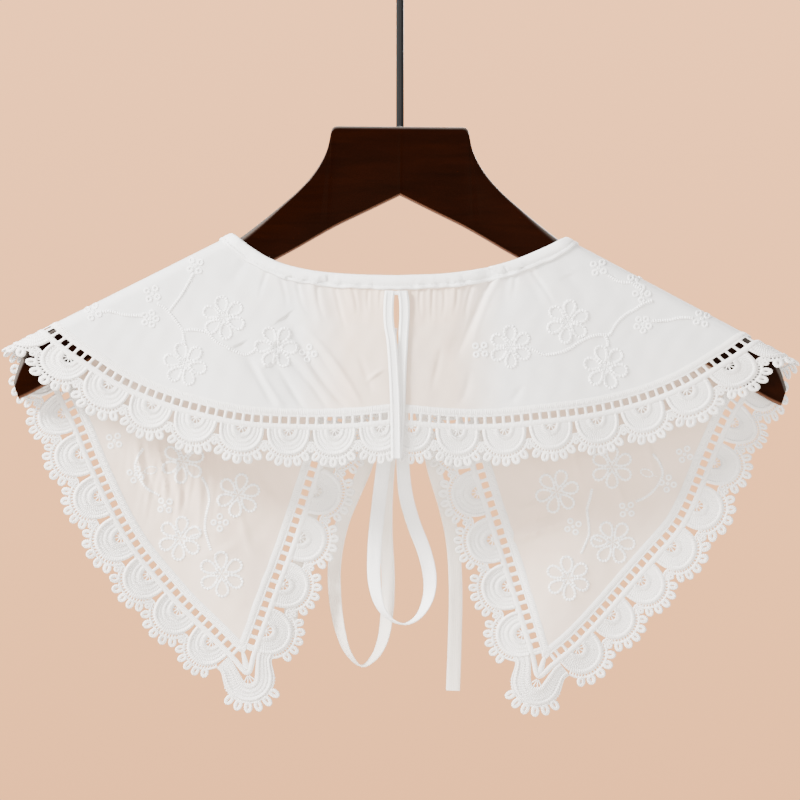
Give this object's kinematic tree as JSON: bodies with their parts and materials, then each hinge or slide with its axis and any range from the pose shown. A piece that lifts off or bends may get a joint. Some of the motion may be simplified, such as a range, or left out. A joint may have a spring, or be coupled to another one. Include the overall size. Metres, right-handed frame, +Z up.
{
  "type": "lace collar on a hanger",
  "caption": "White embroidered cape collar with a scalloped lace edge and tie bow, hanging back to front on a dark wooden hanger with a wire hook.",
  "frame": {"origin": "the seat inside the top of the hook's bend, where a rail carries the hanger", "axes": "+Z up; +X across the collar; -Y towards the collar's back, which faces the viewer in the picture"},
  "size_m": [0.4514, 0.0572, 0.4573],
  "materials": {
    "cotton": "thin white cotton lawn, slightly sheer, matt",
    "lace": "white corded chemical lace and thick white embroidery thread, matt",
    "tape": "folded white cotton tape, matt",
    "wood": "wood stained near-black brown, satin lacquer",
    "wire": "dark steel wire, satin"
  },
  "bodies": {
    "root": {"panel_left": "cotton", "panel_right": "cotton", "neck_binding": "cotton", "placket_left": "cotton", "placket_right": "cotton", "lace_back_left": "lace", "lace_back_right": "lace", "lace_front_left": "lace", "lace_front_right": "lace", "lace_inner_left": "lace", "lace_inner_right": "lace", "lace_tip_left": "lace", "lace_tip_right": "lace", "tie_left": "tape", "tie_right": "tape", "bow_knot": "tape", "bow_loop_near": "tape", "bow_loop_far": "tape", "tie_end_left": "tape", "tie_end_right": "tape", "hanger_left": "wood", "hanger_right": "wood", "hook": "wire"}
  },
  "joints": []
}
